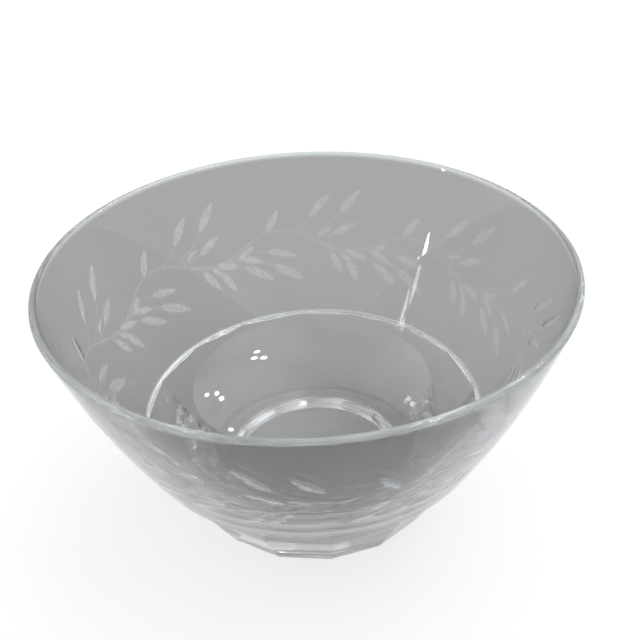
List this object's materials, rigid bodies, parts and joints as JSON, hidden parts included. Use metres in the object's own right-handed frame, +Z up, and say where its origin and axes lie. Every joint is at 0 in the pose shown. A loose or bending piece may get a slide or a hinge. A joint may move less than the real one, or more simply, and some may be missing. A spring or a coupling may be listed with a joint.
{
  "type": "dessert bowl",
  "caption": "Round flared bowl of clear pressed glass with a narrow ledge, flat panels below it and a faceted foot, to hold a dessert, fruit or salad.",
  "frame": {"origin": "centre of the plane that the foot rests on", "axes": "+Z up along the bowl's axis, out of its mouth; the middle of a flat panel faces each of +X, -X, +Y and -Y"},
  "size_m": [0.13, 0.13, 0.069],
  "materials": {
    "glass": "polished, clear"
  },
  "bodies": {
    "root": {"bowl": "glass"}
  },
  "joints": []
}
